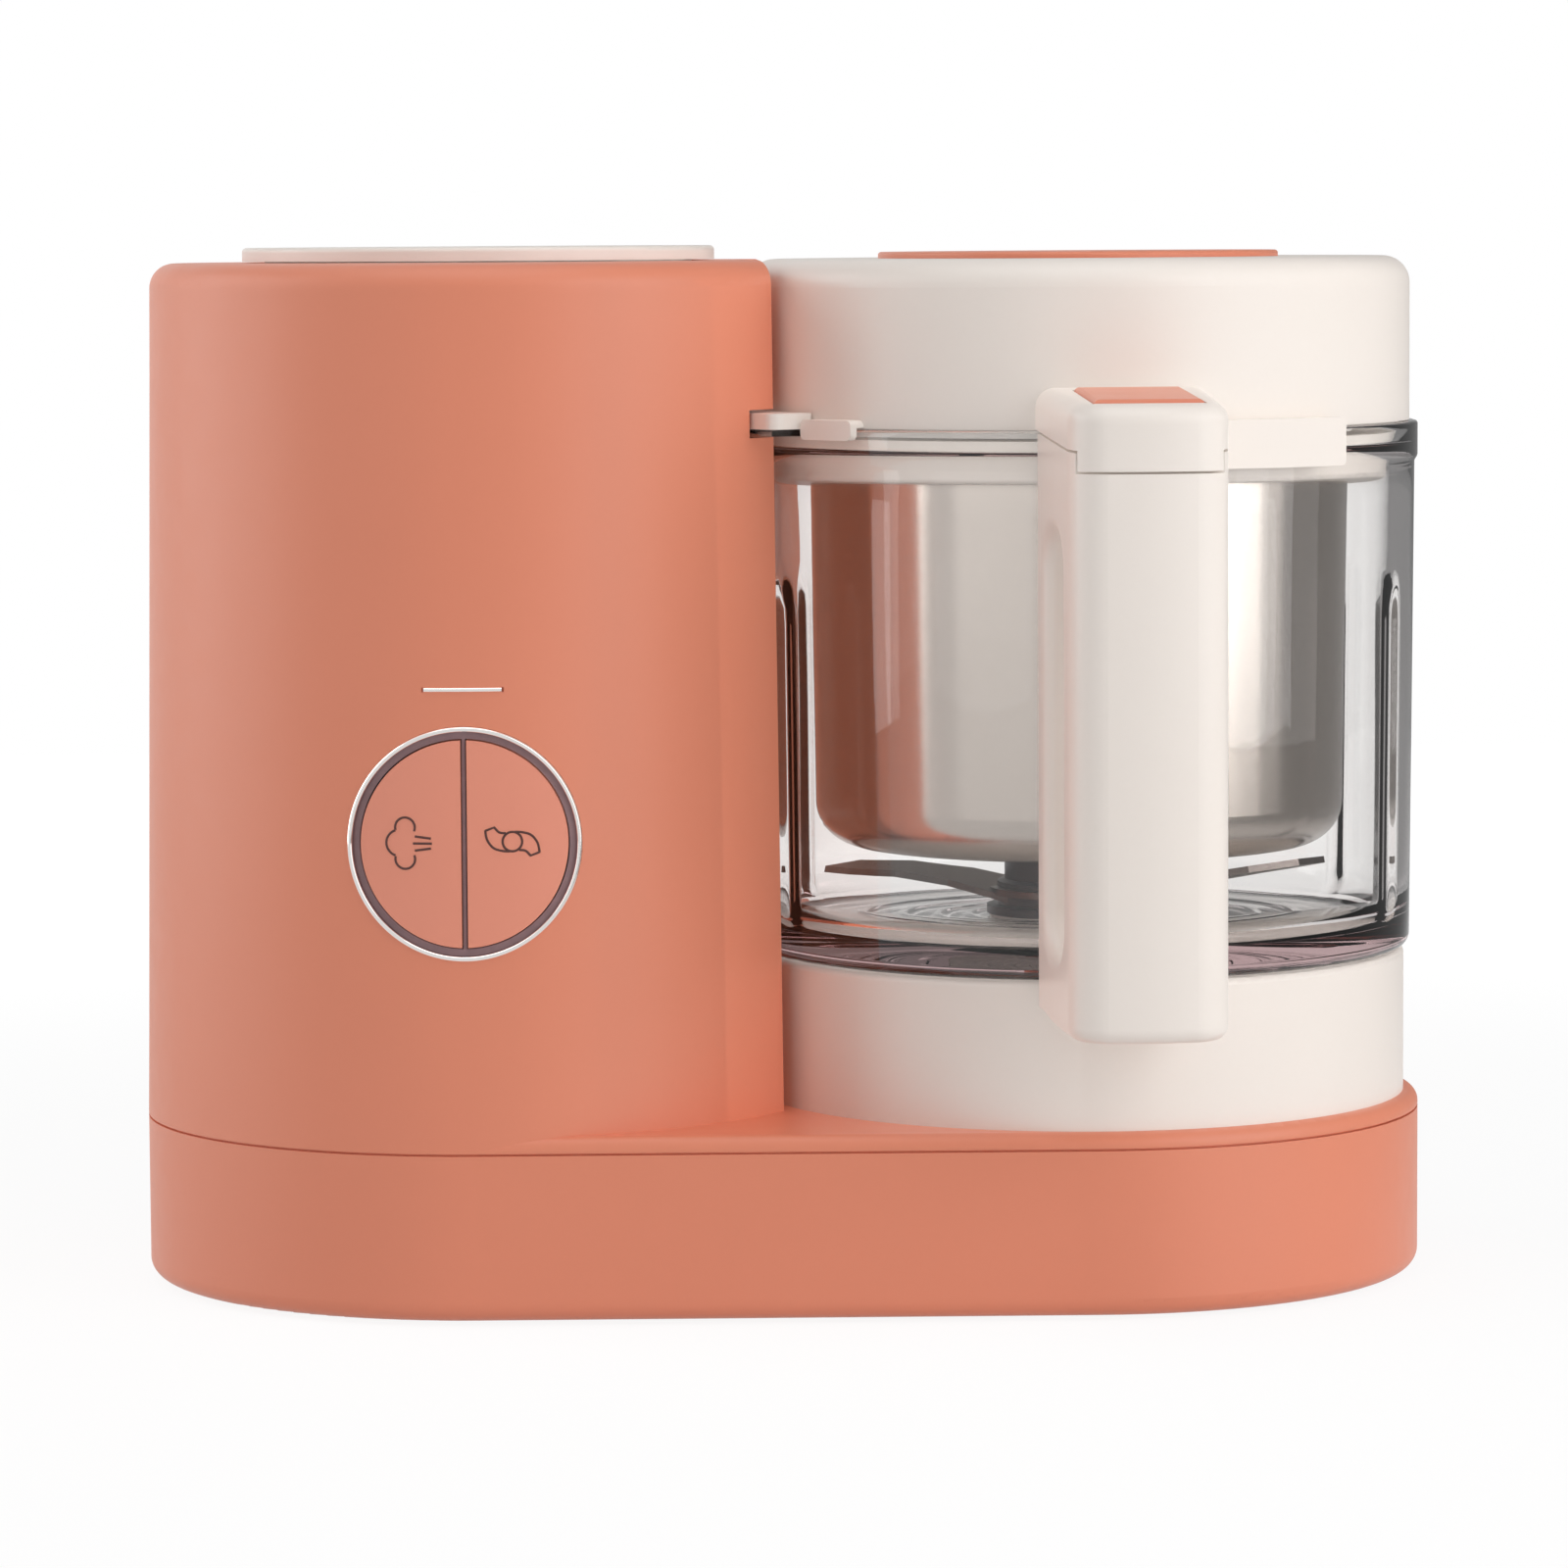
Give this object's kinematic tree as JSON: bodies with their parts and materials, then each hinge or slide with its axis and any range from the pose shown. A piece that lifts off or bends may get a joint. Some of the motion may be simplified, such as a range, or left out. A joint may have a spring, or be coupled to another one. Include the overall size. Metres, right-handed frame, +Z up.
{
  "type": "baby food maker",
  "caption": "Steamer and blender on a stadium base: water tower with half-moon buttons, glass bowl with handle, steel basket, blade and latching lid.",
  "frame": {"origin": "bottom centre of the whole box, on the plane of the feet", "axes": "+X to the right from the tower to the bowl, +Y to the back, +Z up"},
  "size_m": [0.284, 0.1918, 0.2289],
  "materials": {
    "terracotta": "satin moulded plastic",
    "ivory": "semi-gloss moulded plastic",
    "clear_glass": "clear thick glass",
    "brushed_steel": "fine brushed stainless sheet",
    "bright_steel": "turned or ground steel",
    "chrome_trim": "bright plated trim",
    "smoke": "smoky translucent ring",
    "black_plastic": "black moulded plastic",
    "silicone": "soft silicone",
    "foot_rubber": "grey rubber",
    "board_green": "circuit board with parts",
    "aluminium": "cast or pressed aluminium",
    "copper_wire": "wound copper",
    "lamination": "stacked motor sheet"
  },
  "bodies": {
    "base": {"base_tray": "terracotta", "rubber_feet": "foot_rubber", "cord_gland": "foot_rubber", "upper_housing": "terracotta", "motor_pedestal": "ivory", "control_ring": "chrome_trim", "light_ring": "smoke", "button_carrier": "black_plastic", "control_board": "board_green", "push_switches": "black_plastic", "accent_bar": "chrome_trim", "boiler_vessel": "bright_steel", "vessel_gasket": "silicone", "heat_plate": "aluminium", "heating_element": "bright_steel", "boiler_posts": "black_plastic", "thermostat": "aluminium", "thermal_fuse": "copper_wire", "steam_duct": "bright_steel", "steam_nozzle": "silicone", "lock_switch": "black_plastic", "power_board": "board_green", "motor_stator": "lamination", "field_coils": "copper_wire", "upper_bracket": "aluminium", "lower_bracket": "aluminium", "motor_bearings": "bright_steel", "brush_holders": "black_plastic", "motor_tie_bolts": "bright_steel", "motor_dampers": "foot_rubber", "housing_screws": "bright_steel"},
    "steam_key": {"steam_button": "terracotta"},
    "blend_key": {"blend_button": "terracotta"},
    "tank_lid": {"tank_cap": "ivory", "cap_gasket": "silicone"},
    "rotor": {"motor_shaft": "bright_steel", "rotor_core": "lamination", "commutator": "copper_wire", "cooling_fan": "black_plastic", "drive_coupling": "black_plastic"},
    "blade": {"blade_shaft": "bright_steel", "blade_hub": "black_plastic", "blade_wings": "bright_steel", "driven_coupling": "black_plastic"},
    "bowl": {"glass_bowl": "clear_glass", "lock_lug": "ivory", "blade_bush": "black_plastic", "bush_seal": "silicone", "bush_nut": "black_plastic", "handle": "ivory", "bond_pad": "silicone"},
    "lid": {"lid_shell": "ivory", "lid_inlay": "terracotta", "lid_seal": "silicone", "lid_steam_guide": "ivory", "latch_head": "ivory", "lid_lugs": "ivory"},
    "release_key": {"release_button": "terracotta"},
    "basket": {"steam_basket": "brushed_steel", "basket_ring": "ivory"}
  },
  "joints": [
    {"name": "steam_press", "type": "slide", "parent": "base", "child": "steam_key", "axis": [0, 1, 0], "range_m": [0, 0.0015], "stiffness_N_per_m": 700},
    {"name": "blend_press", "type": "slide", "parent": "base", "child": "blend_key", "axis": [0, 1, 0], "range_m": [0, 0.0015], "stiffness_N_per_m": 700},
    {"name": "cap_lift", "type": "slide", "parent": "base", "child": "tank_lid", "axis": [0, 0, 1], "range_m": [0, 0.06]},
    {"name": "bowl_turn", "type": "hinge", "parent": "base", "child": "bowl", "pos_m": [0.06642, 0.02043, 0.0727], "axis": [0, 0, 1], "range_deg": [0, 30]},
    {"name": "lid_lift", "type": "slide", "parent": "bowl", "child": "lid", "axis": [0, 0, 1], "range_m": [0, 0.2]},
    {"name": "release_press", "type": "slide", "parent": "lid", "child": "release_key", "axis": [0, 0, -1], "range_m": [0, 0.002], "stiffness_N_per_m": 700},
    {"name": "basket_lift", "type": "slide", "parent": "bowl", "child": "basket", "axis": [0, 0, 1], "range_m": [0, 0.1]},
    {"name": "motor_spin", "type": "hinge", "parent": "base", "child": "rotor", "pos_m": [0.06642, 0.02043, 0.0352], "axis": [0, 0, 1], "continuous": true},
    {"name": "blade_spin", "type": "hinge", "parent": "base", "child": "blade", "pos_m": [0.06642, 0.02043, 0.0852], "axis": [0, 0, 1], "continuous": true}
  ],
  "couplings": [
    {"joint": "blade_spin", "follows": "motor_spin", "ratio": 1},
    {"joint": "basket_lift", "follows": "lid_lift", "ratio": 0.5}
  ]
}
